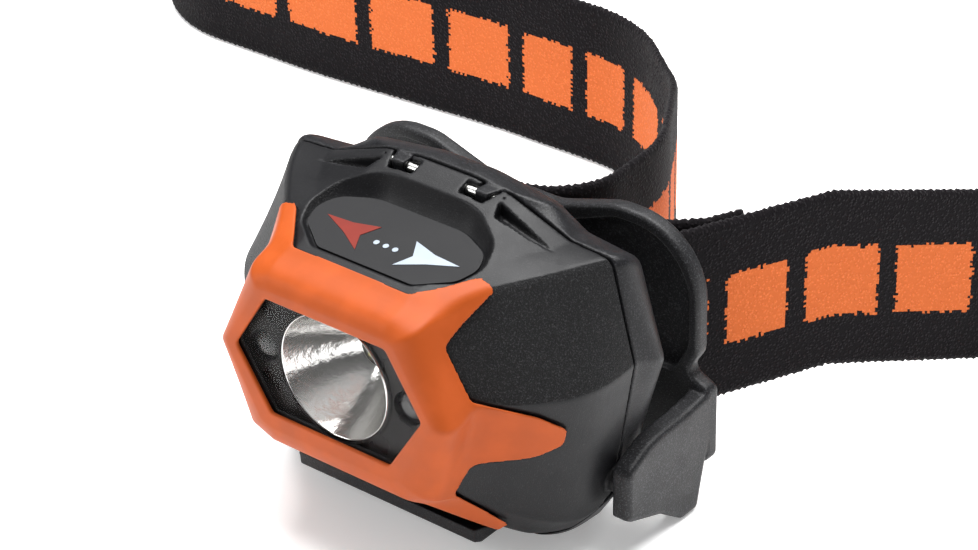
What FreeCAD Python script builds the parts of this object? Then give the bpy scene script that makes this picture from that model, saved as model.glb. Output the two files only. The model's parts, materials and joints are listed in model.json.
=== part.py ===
"""A compact headlamp: hexagonal front, hinged battery cover, tilting head, bracket and headband.

Frame: the origin is the centre of the window's front rim. The beam points along -Y,
+X is to the right of someone looking at the lamp, and +Z is up. Lengths are in millimetres.
"""
import FreeCAD, Part
import math
import os

V = FreeCAD.Vector

# ---------------------------------------------------------------- driving dimensions
WINDOW = [(10.9, 9.5), (17.0, 0.0), (10.9, -9.5)]   # right half of the hexagonal window, (x, z)
WALL = 1.8                # moulded wall of the head
SKIN = 0.8                # how far the orange bezel stands proud of the shell
GAP = 0.35                # visible joint line between the mouldings
GROOVE = 0.35             # width and depth of the groove round the bezel
SEAM_Y = 27.6             # plane where the battery cover meets the front shell
TOP_Y, TOP_Z, TOP_SLOPE = 5.9, 14.6, 0.294          # start and slope of the top face

REFLECTOR_R = 9.6         # inside radius of the reflector's mouth
REFLECTOR_Y = 1.25        # plane of the reflector's mouth
REFLECTOR_FOCUS = 2.2
REFLECTOR_WALL = 0.7
EMITTER_Y = 10.6          # plane of the main LED's base
SIDE_LED_X = 13.3
SIDE_LED_R = 2.5          # ordinary 5 mm lamp
SINK_R = 7.6              # heat sink behind the main LED
BOARD_Y, BOARD_T = 18.2, 1.2                        # main circuit board

CELL_R, CELL_LENGTH = 5.25, 44.5                    # AAA cell
CELL_PITCH = 11.3
CELL_Y, CELL_MID_Z = 27.2, -2.2

TRAY_Y, TRAY_T = 20.2, 1.4            # front face and thickness of the battery tray's back wall
POST_START = 7.0          # front end of the screw posts
SCREW_PLACES = [(20.0, 10.0), (-20.0, 10.0), (19.0, -14.0), (-19.0, -14.0)]

TILT_Y, TILT_Z = 27.3, -18.4                        # axis of the tilt pivot
PIN_R = 1.3
BOSS_R = 2.3
BOSS_X = 27.7             # inner end of the boss
PIN_FIT = 0.05            # running clearance on the radius
ARM_IN, ARM_OUT = 31.0, 34.0                        # inner and outer faces of the bracket's arms
HINGE_Y, HINGE_Z = 26.3, 20.1                       # axis of the battery cover's top hinge
HINGE_R = 0.8

STRAP_WIDTH = 30.0
STRAP_T = 1.6
STRAP_TOP = 8.5           # upper edge of the strap at the bracket
FLOOR_Z = -30.0
BAR_X, BAR_Y, BAR_R = 20.0, 49.2, 1.2               # upright bars that hold the strap
BAR_WRAP = BAR_R + 0.3 + STRAP_T / 2                # radius of the strap's middle line round a bar


# ---------------------------------------------------------------- general helpers
def save(node, *shapes):
    """Write one sub-part, made of one or more separate solids, to its own file."""
    solids = [solid for shape in shapes for solid in shape.Solids]
    shape = solids[0] if len(solids) == 1 else Part.makeCompound(solids)
    shape.exportStep("parts/" + node + ".step")
    print(node, len(solids), round(sum(solid.Volume for solid in solids), 1), shape.isValid())


def box(x0, x1, y0, y1, z0, z1):
    return Part.makeBox(x1 - x0, y1 - y0, z1 - z0, V(x0, y0, z0))


def cylinder(start, radius, length, axis):
    return Part.makeCylinder(radius, length, V(*start), V(*axis))


def polygon_face(points, place):
    """A flat face through (a, b) pairs, put in space by place(a, b)."""
    loop = [place(a, b) for a, b in points]
    return Part.Face(Part.makePolygon(loop + loop[:1]))


def prism_z(points, z0, z1):
    return polygon_face(points, lambda a, b: V(a, b, z0)).extrude(V(0, 0, z1 - z0))


def prism_x(points, x0, x1):
    return polygon_face(points, lambda a, b: V(x0, a, b)).extrude(V(x1 - x0, 0, 0))


def prism_y(points, y0, y1):
    return polygon_face(points, lambda a, b: V(a, y0, b)).extrude(V(0, y1 - y0, 0))


def mirrored(shape):
    return shape.mirror(V(0, 0, 0), V(1, 0, 0))


def both_sides(shape):
    """The shape and its mirror image across the plane x = 0."""
    return shape.fuse(mirrored(shape))


def symmetric(half):
    """A closed loop from its right half, which is listed from the top down."""
    return half + [(-x, z) for x, z in reversed(half)]


def unit(dx, dz):
    size = math.hypot(dx, dz)
    return dx / size, dz / size


def offset_loop(points, distance):
    """Move every side of a clockwise loop outwards by the distance."""
    moved = []
    for i, (x, z) in enumerate(points):
        before, after = points[i - 1], points[(i + 1) % len(points)]
        ax, az = unit(x - before[0], z - before[1])
        bx, bz = unit(after[0] - x, after[1] - z)
        share = distance / (1 + ax * bx + az * bz)
        moved.append((x - (az + bz) * share, z + (ax + bx) * share))
    return moved


def rounded_wire(points, radii, place):
    """A closed wire of straight sides joined by tangent arcs, one at each point."""
    edges, ends = [], []
    count = len(points)
    for i in range(count):
        x, z = points[i]
        ax, az = unit(points[i - 1][0] - x, points[i - 1][1] - z)
        bx, bz = unit(points[(i + 1) % count][0] - x, points[(i + 1) % count][1] - z)
        half = math.acos(max(-1.0, min(1.0, ax * bx + az * bz))) / 2
        back = radii[i] / math.tan(half)
        mx, mz = unit(ax + bx, az + bz)
        reach = radii[i] / math.sin(half) - radii[i]
        ends.append(((x + ax * back, z + az * back),
                     (x + mx * reach, z + mz * reach),
                     (x + bx * back, z + bz * back)))
    for i in range(count):
        start, middle, end = [place(*point) for point in ends[i]]
        edges.append(Part.Arc(start, middle, end).toShape())
        edges.append(Part.makeLine(end, place(*ends[(i + 1) % count][0])))
    return Part.Wire(edges)


def rounded_prism_y(points, radii, y0, y1):
    wire = rounded_wire(points, radii, lambda a, b: V(a, y0, b))
    return Part.Face(wire).extrude(V(0, y1 - y0, 0))


def rounded_prism_x(points, radii, x0, x1):
    wire = rounded_wire(points, radii, lambda a, b: V(x0, a, b))
    return Part.Face(wire).extrude(V(x1 - x0, 0, 0))


# ---------------------------------------------------------------- outer form of the head
# Each station is the right half of a cross-section, as (x, z) from the crown of the top down:
# crown, top edge, valley beside it, shoulder, side crease, lower edge, bottom edge.
SHELL_STATIONS = [
    (2.5, [(4.5, 13.3), (10.8, 13.2), (12.4, 12.74), (14.0, 12.4),
           (19.8, 0.0), (16.2, -13.4), (12.2, -15.6)]),
    (6.0, [(4.5, 14.7), (11.0, 14.6), (13.0, 13.85), (15.0, 13.2),
           (20.6, 0.4), (17.4, -14.8), (13.4, -18.0)]),
    (9.5, [(4.5, 15.8), (11.0, 15.6), (13.6, 14.95), (16.3, 14.4),
           (23.8, 0.5), (19.8, -17.6), (16.2, -20.8)]),
    (13.0, [(4.5, 16.9), (11.0, 16.7), (14.8, 15.95), (18.6, 15.3),
            (27.6, 0.6), (22.9, -20.0), (19.4, -23.4)]),
    (17.0, [(4.5, 18.2), (11.0, 17.9), (16.4, 16.8), (21.9, 16.0),
            (30.8, 0.9), (26.2, -22.0), (22.8, -25.8)]),
    (21.0, [(4.5, 19.7), (11.0, 19.3), (18.8, 17.3), (25.0, 16.6),
            (32.3, 1.1), (28.0, -22.9), (24.8, -27.0)]),
    (SEAM_Y, [(4.5, 22.0), (11.2, 21.4), (21.6, 17.5), (28.9, 17.0),
              (32.7, 1.5), (28.8, -22.5), (26.0, -27.0)]),
]
COVER_STATIONS = [
    SHELL_STATIONS[-1],
    (30.0, [(4.5, 21.8), (16.2, 20.3), (20.6, 17.0), (29.7, 16.5),
            (33.3, 1.0), (28.6, -21.4), (25.4, -26.0)]),
    (32.6, [(4.5, 20.6), (15.4, 19.0), (20.0, 15.9), (29.2, 15.0),
            (33.6, 0.0), (28.2, -19.6), (24.6, -24.2)]),
    (35.4, [(4.5, 17.4), (14.0, 16.2), (18.5, 13.7), (27.0, 12.6),
            (30.8, -1.0), (26.2, -17.6), (22.6, -21.6)]),
    (36.6, [(4.0, 14.6), (12.4, 13.8), (16.5, 11.8), (23.4, 10.4),
            (26.8, -1.6), (22.8, -15.0), (19.0, -18.4)]),
]
BEZEL_FRONT = [
    (-0.3, [(4.5, 11.1), (10.2, 11.0), (11.3, 10.77), (12.4, 10.6),
            (18.9, -0.4), (12.9, -11.2), (10.6, -12.0)]),
    (0.3, [(4.5, 12.5), (10.7, 12.4), (12.1, 12.07), (13.6, 11.8),
           (20.2, -0.7), (14.6, -12.7), (11.4, -14.0)]),
    (1.5, [(4.5, 13.6), (11.0, 13.5), (12.8, 13.0), (14.7, 12.6),
           (21.0, -0.9), (16.3, -13.9), (12.3, -15.5)]),
    (3.5, [(4.5, 14.4), (11.2, 14.3), (13.2, 13.75), (15.2, 13.3),
           (21.3, -0.6), (17.3, -14.7), (13.0, -16.9)]),
]
CORNER_R = [14.0, 4.5, 3.0, 1.9, 2.2, 1.6, 1.6]
SOFT_FRONT = 0.55         # share of the corner radii used at the front stations


def section(y, half, distance=0.0, share=1.0):
    radii = [radius * share for radius in CORNER_R]
    loop = offset_loop(symmetric(half), distance)
    return rounded_wire(loop, radii + radii[::-1], lambda a, b: V(a, y, b))


def loft(sections):
    return Part.makeLoft(sections, True, False)


def bezel_form():
    """Outer form of the bezel: a rounded hexagonal ring that runs on as a skin over the shell."""
    front = [section(y, half, 0.0, SOFT_FRONT) for y, half in BEZEL_FRONT]
    skin = [section(y, half, SKIN) for y, half in SHELL_STATIONS[1:6]]
    return loft(front + skin)


def head_form():
    """Whole outer form of the moulded head, front shell and battery cover together."""
    front = loft([section(y, half) for y, half in SHELL_STATIONS])
    rear = loft([section(y, half) for y, half in COVER_STATIONS])
    return front.fuse(rear)


def head_hollow(wall=WALL):
    """Room inside the head, one wall's thickness in from the outer form."""
    front = [section(y + wall, half, -wall) for y, half in SHELL_STATIONS[:6]]
    seam = section(SEAM_Y, SHELL_STATIONS[-1][1], -wall)
    rear = [section(y - wall, half, -wall) for y, half in COVER_STATIONS[2:]]
    return loft(front + [seam]).fuse(loft([seam] + rear))


def hexagon(distance):
    """The window's outline, grown by the distance."""
    return offset_loop(symmetric(WINDOW), distance)


def hexagon_prism(distance, y0, y1, radius=0.8):
    return rounded_prism_y(hexagon(distance), [radius] * 6, y0, y1)


def top_z(y):
    return TOP_Z + TOP_SLOPE * (y - TOP_Y)


# ---------------------------------------------------------------- optics
POCKET = 1.4              # how far the pocket behind the window reaches past its edge
LENS = (0.35, 1.15)
GASKET = (1.15, 1.6)
MASK = (1.6, 2.5)


def window_lens():
    return hexagon_prism(POCKET - 0.2, *LENS)


def lens_gasket():
    ring = hexagon_prism(POCKET - 0.2, *GASKET)
    return ring.cut(hexagon_prism(0.4, *GASKET)).cut(cylinder((0, 1, 0), 10.4, 1, (0, 1, 0)))


def side_led_holes(radius, y0, y1):
    hole = cylinder((SIDE_LED_X, y0, 0), radius, y1 - y0, (0, 1, 0))
    return both_sides(hole)


def light_mask():
    plate = hexagon_prism(POCKET - 0.15, *MASK)
    plate = plate.cut(cylinder((0, 1, 0), 10.35, 3, (0, 1, 0)))
    return plate.cut(side_led_holes(SIDE_LED_R + 0.1, 1, 3))


def reflector_profile(extra, y_front):
    """Half outline of the paraboloid, from its apex hole out to its mouth."""
    vertex = REFLECTOR_Y + REFLECTOR_R ** 2 / (4 * REFLECTOR_FOCUS)
    steps = 8
    points = []
    for i in range(steps + 1):
        r = 3.0 + (REFLECTOR_R - 3.0) * i / steps
        points.append(V(r + extra, vertex - r * r / (4 * REFLECTOR_FOCUS), 0))
    points[-1] = V(REFLECTOR_R + extra, y_front, 0)
    return points


def reflector():
    inner = reflector_profile(0.0, REFLECTOR_Y)
    outer = reflector_profile(REFLECTOR_WALL, REFLECTOR_Y)
    curve_in, curve_out = Part.BSplineCurve(), Part.BSplineCurve()
    curve_in.interpolate(inner)
    curve_out.interpolate(outer)
    edges = [curve_in.toShape(), Part.makeLine(inner[-1], outer[-1]),
             curve_out.toShape(), Part.makeLine(outer[0], inner[0])]
    face = Part.Face(Part.Wire(Part.__sortEdges__(edges)))
    return face.revolve(V(0, 0, 0), V(0, 1, 0), 360)


def white_led():
    base = box(-1.7, 1.7, EMITTER_Y, EMITTER_Y + 0.8, -1.7, 1.7)
    dome = Part.makeSphere(1.3, V(0, EMITTER_Y, 0), V(0, -1, 0), 0, 90, 360)
    return base.fuse(dome)


def led_board():
    disc = cylinder((0, EMITTER_Y + 0.8, 0), 8.0, 1.4, (0, 1, 0))
    for side in (-1, 1):
        disc = disc.cut(cylinder((side * 8.0, EMITTER_Y, 0), 1.6, 4, (0, 1, 0)))
    return disc


def heat_sink():
    start = EMITTER_Y + 2.2
    body = cylinder((0, start, 0), SINK_R, 1.6, (0, 1, 0))
    for z in (-6, -3, 0, 3, 6):
        half = math.sqrt(SINK_R ** 2 - z ** 2) - 0.3
        body = body.fuse(box(-half, half, start + 1.6, start + 4.6, z - 0.6, z + 0.6))
    return body.removeSplitter()


def led_wires():
    """Two insulated wires from the LED board back to the main board."""
    wire = cylinder((SINK_R + 0.9, EMITTER_Y + 0.9, 0), 0.55, BOARD_Y - EMITTER_Y - 0.9, (0, 1, 0))
    return [wire, mirrored(wire)]


def side_led():
    """A 5 mm lamp: clear dome, cylinder, flange and two leads."""
    dome_y = LENS[1] + SIDE_LED_R + 0.3
    dome = Part.makeSphere(SIDE_LED_R, V(SIDE_LED_X, dome_y, 0), V(0, -1, 0), 0, 90, 360)
    barrel = cylinder((SIDE_LED_X, dome_y, 0), SIDE_LED_R, 8.0 - dome_y, (0, 1, 0))
    flange = cylinder((SIDE_LED_X, 8.0, 0), SIDE_LED_R + 0.4, 1.0, (0, 1, 0))
    lamp = dome.fuse(barrel).fuse(flange)
    for offset in (-1.27, 1.27):
        middle = SIDE_LED_X + offset
        lead = box(middle - 0.25, middle + 0.25, 9.0, BOARD_Y, -0.25, 0.25)
        lamp = lamp.fuse(lead)
    return lamp.removeSplitter()


# ---------------------------------------------------------------- front shell and bezel
# Outline of the bezel seen from the side, as (y, z): three points on each flank.
SIDE_OUTLINE = [(-5, 30), (17.6, 30), (17.6, 20.0), (14.0, 17.6), (12.9, 15.2), (5.2, 9.4),
                (6.1, 1.6), (12.6, -1.7), (15.9, -4.4), (15.9, -7.2), (12.9, -9.0), (7.0, -9.6),
                (5.4, -14.4), (9.8, -18.9), (12.9, -22.2), (12.9, -26.0), (10.0, -30), (-5, -30)]
SIDE_RADII = [0.2, 0.2, 0.2, 1.0, 1.4, 1.0, 1.2, 4.0, 1.3, 1.3, 4.0, 1.4, 1.2, 3.0, 1.4, 1.0, 0.2, 0.2]
# Gaps between the two upper and the two lower points, seen from above: right half as (x, y).
UPPER_NOTCH = [(10.6, 5.8), (16.0, 12.7), (17.6, 14.0), (17.6, 40)]
LOWER_NOTCH = [(9.0, 3.6), (16.6, 12.6), (18.2, 13.9), (18.2, 40)]
NOTCH_RADII = [1.2, 1.2, 0.8, 0.2]


def notch_block(half, z, height):
    """A block whose plan is the notch and its mirror image."""
    loop = half + [(-x, y) for x, y in reversed(half)]
    wire = rounded_wire(loop, NOTCH_RADII + NOTCH_RADII[::-1], lambda a, b: V(a, b, z))
    return Part.Face(wire).extrude(V(0, 0, height))


def bezel_region(grow=0.0):
    """Space in front of the bezel's rear outline, which can be grown by a distance."""
    side = rounded_prism_x(offset_loop(SIDE_OUTLINE, grow), SIDE_RADII, -40, 40)
    upper = [(x, y + grow) for x, y in UPPER_NOTCH]
    lower = [(x, y + grow) for x, y in LOWER_NOTCH]
    return side.cut(notch_block(upper, 2, 40)).cut(notch_block(lower, -12, -40))


def bezel_groove():
    """Fine groove in the shell that sets off the edge of the bezel."""
    core = loft([section(y, half, -GROOVE) for y, half in SHELL_STATIONS])
    return bezel_region(GROOVE).cut(bezel_region(-GROOVE)).cut(core)


def bezel():
    body = bezel_form().cut(head_form())
    body = body.cut(hexagon_prism(0.0, -2, 3, 0.9))
    body = body.cut(hexagon_prism(POCKET, LENS[0], 3))
    return body.common(bezel_region())


# Joint line between shell and cover seen from the side, as (y, z): the cover lies behind it.
COVER_SIDE = [(SEAM_Y, 40), (SEAM_Y, -21.35), (21.4, -25.8), (5, -25.8), (5, -40), (60, -40), (60, 40)]
SHELL_SIDE = [(SEAM_Y - GAP, 40), (SEAM_Y - GAP, -21.1), (21.3, -25.8 + GAP), (5, -25.8 + GAP),
              (5, -40), (60, -40), (60, 40)]
LIP_X = 16.6              # half width of the cover's thumb lip under the bezel
LIP = [(10.9, -24.3), (12.4, -24.7), (16.4, -26.1), (23.0, -26.2), (23.0, -27.3),
       (12.6, -27.3), (11.2, -26.6)]

PAD_Y, PAD_Z, PAD_SLOPE = 7.0, 13.9, 0.18           # a point on the pad's floor, and its slope
FILM_T, PRINT_T = 0.45, 0.08                        # touch film and the print on it
DOT_PITCH, DOT_R, DOT_Y = 1.7, 0.45, 13.3
PAD_HALF = [(9.0, 7.4), (14.6, 11.4), (16.0, 15.4), (14.4, 19.6), (8.2, 22.3)]
PAD_RADII = [2.0, 3.0, 3.0, 4.0, 9.0]
# Latch window beside the middle tongue, as (x, y): a foot in front and a leg that leans outwards.
WINDOW_L = [(4.2, 24.1), (8.6, 24.0), (10.6, 29.0), (7.2, 29.0), (6.1, 26.5), (4.2, 26.6)]
HOOK = [(6.45, 25.0), (8.6, 25.0), (9.95, 28.6), (7.4, 28.6), (6.45, 26.8)]    # cover's hook in the leg
HOOK_HALF = 1.35          # half height of the hook
SLOT = [(10.6, 25.4), (11.6, 23.0), (22.9, 23.6)]   # tapered recess, right side, as (x, y)


def on_pad(x, y, lift=0.0):
    """A point above the pad's sloping floor."""
    return V(x, y, PAD_Z + PAD_SLOPE * (y - PAD_Y) + lift)


def pad_wire(shrink, lift):
    """The touch pad's outline, drawn in by the shrink and lifted off the pad's floor."""
    loop = PAD_HALF + [(-x, y) for x, y in reversed(PAD_HALF)]
    loop = offset_loop(loop[::-1], -shrink)[::-1]
    radii = PAD_RADII + PAD_RADII[::-1]
    return rounded_wire(loop, radii, lambda a, b: on_pad(a, b, lift))


def pad_recess():
    """Dished pocket in the top face, with sloping walls."""
    return loft([pad_wire(1.0, 0.0), pad_wire(0.0, 1.6), pad_wire(-1.0, 8.0)])


def touch_pad():
    return loft([pad_wire(1.25, 0.0), pad_wire(1.25, FILM_T)])


ARROW = [(12.0, 14.8), (7.4, 15.1), (3.2, 16.2), (4.8, 13.4), (3.4, 10.6), (7.5, 12.9)]


def pad_mark(points):
    """A printed mark, a thin raised layer on the pad."""
    base = [on_pad(x, y, FILM_T) for x, y in points]
    return Part.Face(Part.makePolygon(base + base[:1])).extrude(V(0, 0, PRINT_T))


def pad_dots():
    """Three printed dots between the arrows."""
    discs = []
    for x in (-DOT_PITCH, 0.0, DOT_PITCH):
        ring = [(x + DOT_R * math.cos(t), DOT_Y + DOT_R * math.sin(t))
                for t in (math.pi * k / 8 for k in range(16))]
        discs.append(pad_mark(ring))
    return discs


def slot_floor(thickness):
    """Wedge whose upper face is the sloping floor of the tapered recess."""
    return prism_y([(9.6, 18.6), (24.0, 16.9), (24.0, 16.9 - thickness), (9.6, 18.6 - thickness)], 22, 26.6)


def tapered_slots():
    """Two blind recesses that run out along the top face."""
    return both_sides(prism_z(SLOT, 10, 30).cut(slot_floor(10.0)))


def latch_windows():
    return both_sides(prism_z(WINDOW_L, 10, 30))


def pivot_boss():
    return both_sides(cylinder((BOSS_X, TILT_Y, TILT_Z), BOSS_R, ARM_IN - 0.35 - BOSS_X, (1, 0, 0)))


def pivot_hole():
    return both_sides(cylinder((25.0, TILT_Y, TILT_Z), PIN_R + PIN_FIT, 12, (1, 0, 0)))


def hinge_ears():
    """Two ears inside the shell that hold the cover's hinge rod."""
    outer = box(9.2, 11.0, HINGE_Y - 1.6, HINGE_Y + 1.2, HINGE_Z - 1.8, HINGE_Z + 1.6)
    inner = box(1.4, 3.4, HINGE_Y - 1.6, HINGE_Y + 1.2, HINGE_Z - 1.8, HINGE_Z + 1.6)
    return both_sides(outer.fuse(inner))


def hinge_rods():
    rod = cylinder((1.8, HINGE_Y, HINGE_Z), HINGE_R, 8.8, (1, 0, 0))
    return [rod, mirrored(rod)]


def screw_posts():
    """Posts moulded inside the shell for the screws of the battery tray."""
    posts = [cylinder((x, POST_START, z), 2.0, TRAY_Y - POST_START, (0, 1, 0)) for x, z in SCREW_PLACES]
    return posts[0].multiFuse(posts[1:])


def front_shell():
    outer = head_form()
    shell = outer.cut(head_hollow())
    inner = screw_posts().fuse(hinge_ears()).fuse(both_sides(slot_floor(1.4))).common(outer)
    shell = shell.fuse(inner).cut(prism_x(SHELL_SIDE, -60, 60))
    shell = shell.fuse(pivot_boss())
    shell = shell.cut(cylinder((0, 1, 0), 10.6, 6, (0, 1, 0)))
    shell = shell.cut(side_led_holes(SIDE_LED_R + 0.15, 1, 8))
    pad_seat = loft([pad_wire(-0.9, -1.3), pad_wire(-0.9, 1.0)]).common(outer)
    shell = shell.fuse(pad_seat).cut(pad_recess()).cut(tapered_slots()).cut(latch_windows())
    shell = shell.cut(pivot_hole()).cut(bezel_groove())
    shell = shell.cut(both_sides(cylinder((1.0, HINGE_Y, HINGE_Z), HINGE_R, 10.2, (1, 0, 0))))
    for x, z in SCREW_PLACES:
        shell = shell.cut(cylinder((x, TRAY_Y - 6, z), 0.7, 7, (0, 1, 0)))
    return shell


# ---------------------------------------------------------------- battery cover
def cover_hook():
    """A hook that reaches forward into a latch window and holds the hinge rod."""
    hook = prism_z(HOOK, HINGE_Z - HOOK_HALF, HINGE_Z + HOOK_HALF)
    return hook.cut(cylinder((4, HINGE_Y, HINGE_Z), HINGE_R + PIN_FIT, 7, (1, 0, 0)))


def battery_cover():
    outer = head_form().common(prism_x(COVER_SIDE, -60, 60))
    cover = outer.cut(head_hollow())
    cover = cover.cut(both_sides(cylinder((25, TILT_Y, TILT_Z), BOSS_R + GAP, 10, (1, 0, 0))))
    cover = cover.fuse(prism_x(LIP, -LIP_X, LIP_X))
    return cover.fuse(both_sides(cover_hook())).removeSplitter()


def cell_pad():
    """Foam strip on the inside of the cover that presses on the cells."""
    return box(-15, 15, CELL_Y + CELL_R + 0.1, CELL_Y + CELL_R + 0.85, -9, 5)


# ---------------------------------------------------------------- inside the head
def cell(z):
    """An AAA cell lying across the head: can, seal step and button."""
    half = CELL_LENGTH / 2
    can = cylinder((-half, CELL_Y, z), CELL_R, CELL_LENGTH - 0.9, (1, 0, 0))
    button = cylinder((half - 0.9, CELL_Y, z), 1.9, 0.9, (1, 0, 0))
    return can.fuse(button)


def cell_heights():
    return [CELL_MID_Z + CELL_PITCH * i for i in (-1, 0, 1)]


def battery_tray():
    """Back wall, end walls and the two ribs that keep the cells apart."""
    low, high = CELL_MID_Z - 17.4, CELL_MID_Z + 16.8
    tray = box(-25.8, 25.8, TRAY_Y, TRAY_Y + TRAY_T, low, high)
    for side in (-1, 1):
        wall = box(24.3, 25.8, TRAY_Y, 31.0, low + 1.5, high - 1.6)
        tray = tray.fuse(wall if side > 0 else mirrored(wall))
    for z in (CELL_MID_Z - CELL_PITCH / 2, CELL_MID_Z + CELL_PITCH / 2):
        tray = tray.fuse(box(-24.4, 24.4, TRAY_Y, 26.0, z - 0.25, z + 0.25))
    for x, z in SCREW_PLACES:
        tray = tray.cut(cylinder((x, TRAY_Y - 1, z), 0.9, 4, (0, 1, 0)))
        tray = tray.cut(cylinder((x, TRAY_Y + TRAY_T - 0.8, z), 1.7, 2, (0, 1, 0)))
    return tray.removeSplitter().common(head_hollow(WALL + 0.2))


def tray_screws():
    """Screws that hold the tray to the shell's posts, their heads sunk in the tray's wall."""
    screws = []
    for x, z in SCREW_PLACES:
        thread = cylinder((x, TRAY_Y - 5.5, z), 0.7, 5.5 + TRAY_T - 0.8, (0, 1, 0))
        head = cylinder((x, TRAY_Y + TRAY_T - 0.8, z), 1.5, 0.7, (0, 1, 0))
        screws.append(thread.fuse(head))
    return screws


def contact_springs():
    """Conical battery springs, each a stack of rings joined by a core, at the negative ends."""
    springs = []
    for z in cell_heights():
        base = -CELL_LENGTH / 2 - 1.7
        spring = cylinder((base, CELL_Y, z), 1.0, 1.7, (1, 0, 0))
        for i in range(3):
            ring = cylinder((base + 0.55 * i, CELL_Y, z), 3.2 - 0.7 * i, 0.35, (1, 0, 0))
            spring = spring.fuse(ring)
        springs.append(spring)
    return springs


def contact_plates():
    """Flat contacts that link the cells in series, on both end walls."""
    left = [box(-24.3, -24.05, CELL_Y - 4, CELL_Y + 3, z - 4, z + 4) for z in cell_heights()]
    right = [box(CELL_LENGTH / 2, 24.3, CELL_Y - 2, CELL_Y + 2, z - 3, z + 3) for z in cell_heights()]
    return left + right


def main_board():
    return box(-17.4, 17.4, BOARD_Y, BOARD_Y + BOARD_T, -11.5, 11.5)


def board_parts():
    """Driver chip, inductor, capacitors and crystal, as (x, z, width, depth, height)."""
    places = [(-11, 9, 3, 3, 1.2), (11, 9, 4, 3, 2.0), (-2, -9.5, 3, 2, 1.0), (5, -9.5, 2, 2, 1.0),
              (-12, -8, 3, 2, 0.9)]
    return [box(x - a / 2, x + a / 2, BOARD_Y - h, BOARD_Y, z - b / 2, z + b / 2)
            for x, z, a, b, h in places]


def touch_board():
    """Sensor board pressed to the underside of the pad's floor."""
    loop = [(-11.0, 10.0), (11.0, 10.0), (13.0, 15.0), (9.0, 19.6), (-9.0, 19.6), (-13.0, 15.0)]
    low = [on_pad(x, y, -2.3) for x, y in loop]
    return Part.Face(Part.makePolygon(low + low[:1])).extrude(V(0, 0, 0.9))


def cover_seal():
    """Soft ring just inside the joint line, squeezed by the cover."""
    half = SHELL_STATIONS[-1][1]
    y0, y1 = SEAM_Y - 0.2, SEAM_Y + 0.6
    low, high, bar = -20.3, 15.2, 0.8
    outer = Part.Face(section(y0, half, -WALL - 0.6)).extrude(V(0, y1 - y0, 0))
    inner = Part.Face(section(y0, half, -WALL - 1.3)).extrude(V(0, y1 - y0, 0))
    ring = outer.cut(inner).common(box(-40, 40, y0, y1, low, high))
    bars = box(-22.6, 22.6, y0, y1, high - bar, high).fuse(box(-26.4, 26.4, y0, y1, low, low + bar))
    return ring.fuse(bars).removeSplitter()


# ---------------------------------------------------------------- bracket
PLATE = (43.2, 46.0)      # front and back of the lobed plate
PLATE_HALF = [(6.0, 10.6), (17.0, 14.2), (32.0, 14.2), (32.0, -5.5), (29.8, -9.0), (34.0, -10.8),
              (34.0, -23.4), (26.0, -24.0)]
PLATE_RADII = [9.0, 9.0, 11.5, 3.0, 1.5, 1.5, 1.5, 1.5]
DISH_HALF = [(8.2, 8.7), (17.1, 12.4), (30.3, 12.4), (30.3, -4.8), (27.6, -9.6), (9.0, -9.6)]
DISH_RADII = [2.5, 7.4, 9.8, 3.0, 2.0, 2.5]
RIM_R = 0.7               # rounding of the plate's rim
ARM_SIDE = [(24.3, -15.0), (30.0, -12.3), (38.0, -12.0), (45.9, -11.0), (45.9, -14.0), (43.9, -20.0),
            (41.4, FLOOR_Z), (37.6, FLOOR_Z), (32.6, -26.4), (25.4, -23.8), (24.3, -23.0)]
ARM_RADII = [2.2, 9.0, 8.0, 1.0, 2.0, 6.0, 0.8, 0.8, 4.0, 1.0, 0.4]
ARM_R = 0.9               # rounding of the arm's outer edges
DISH_DEPTH = 1.3
LUG_T = 0.8               # thickness of the lugs that hold the strap bars


def bracket_plate():
    plate = rounded_prism_y(symmetric(PLATE_HALF), PLATE_RADII + PLATE_RADII[::-1], *PLATE)
    dish = rounded_prism_y(DISH_HALF, DISH_RADII, PLATE[0] - 1, PLATE[0] + DISH_DEPTH)
    rim = [edge for edge in plate.Edges if edge.BoundBox.YLength < 0.01]
    plate = plate.makeFillet(RIM_R, rim)
    plate = plate.cut(both_sides(dish))
    ring = cylinder((17.5, PLATE[0] + DISH_DEPTH, 8.0), 2.8, 0.12, (0, -1, 0))
    ring = ring.cut(cylinder((17.5, PLATE[0] + DISH_DEPTH, 8.0), 2.5, 0.2, (0, -1, 0)))
    return plate.fuse(both_sides(ring))


def bracket_arm():
    arm = rounded_prism_x(ARM_SIDE, ARM_RADII, ARM_IN, ARM_OUT)
    rims = [edge for edge in arm.Edges
            if edge.BoundBox.XMin > ARM_OUT - 0.01 and edge.BoundBox.ZMax > FLOOR_Z + 2]
    arm = arm.makeFillet(ARM_R, rims)
    return arm.cut(cylinder((ARM_IN - 1, TILT_Y, TILT_Z), PIN_R, ARM_OUT - ARM_IN, (1, 0, 0)))


def strap_bar():
    """An upright bar behind a lobe, with the lugs that hold its two ends."""
    top = STRAP_TOP + 0.2
    bottom = STRAP_TOP - STRAP_WIDTH - 0.3
    bar = cylinder((BAR_X, BAR_Y, bottom - LUG_T), BAR_R, top - bottom + 2 * LUG_T, (0, 0, 1))
    for z in (bottom - LUG_T, top):
        bar = bar.fuse(box(BAR_X - 1.8, BAR_X + 1.8, PLATE[1] - 0.5, BAR_Y + BAR_R, z, z + LUG_T))
    return bar


def bracket():
    shape = bracket_plate().fuse(both_sides(bracket_arm())).fuse(both_sides(strap_bar()))
    rib = box(-9, 9, PLATE[1], PLATE[1] + 0.8, -23.4, -22.2)
    return shape.fuse(rib).removeSplitter()


def pivot_pin():
    """Steel pin pressed into an arm; its inner end carries the head."""
    inner_end = BOSS_X + 0.2
    return cylinder((inner_end, TILT_Y, TILT_Z), PIN_R, ARM_OUT - 1.0 - inner_end, (1, 0, 0))


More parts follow.
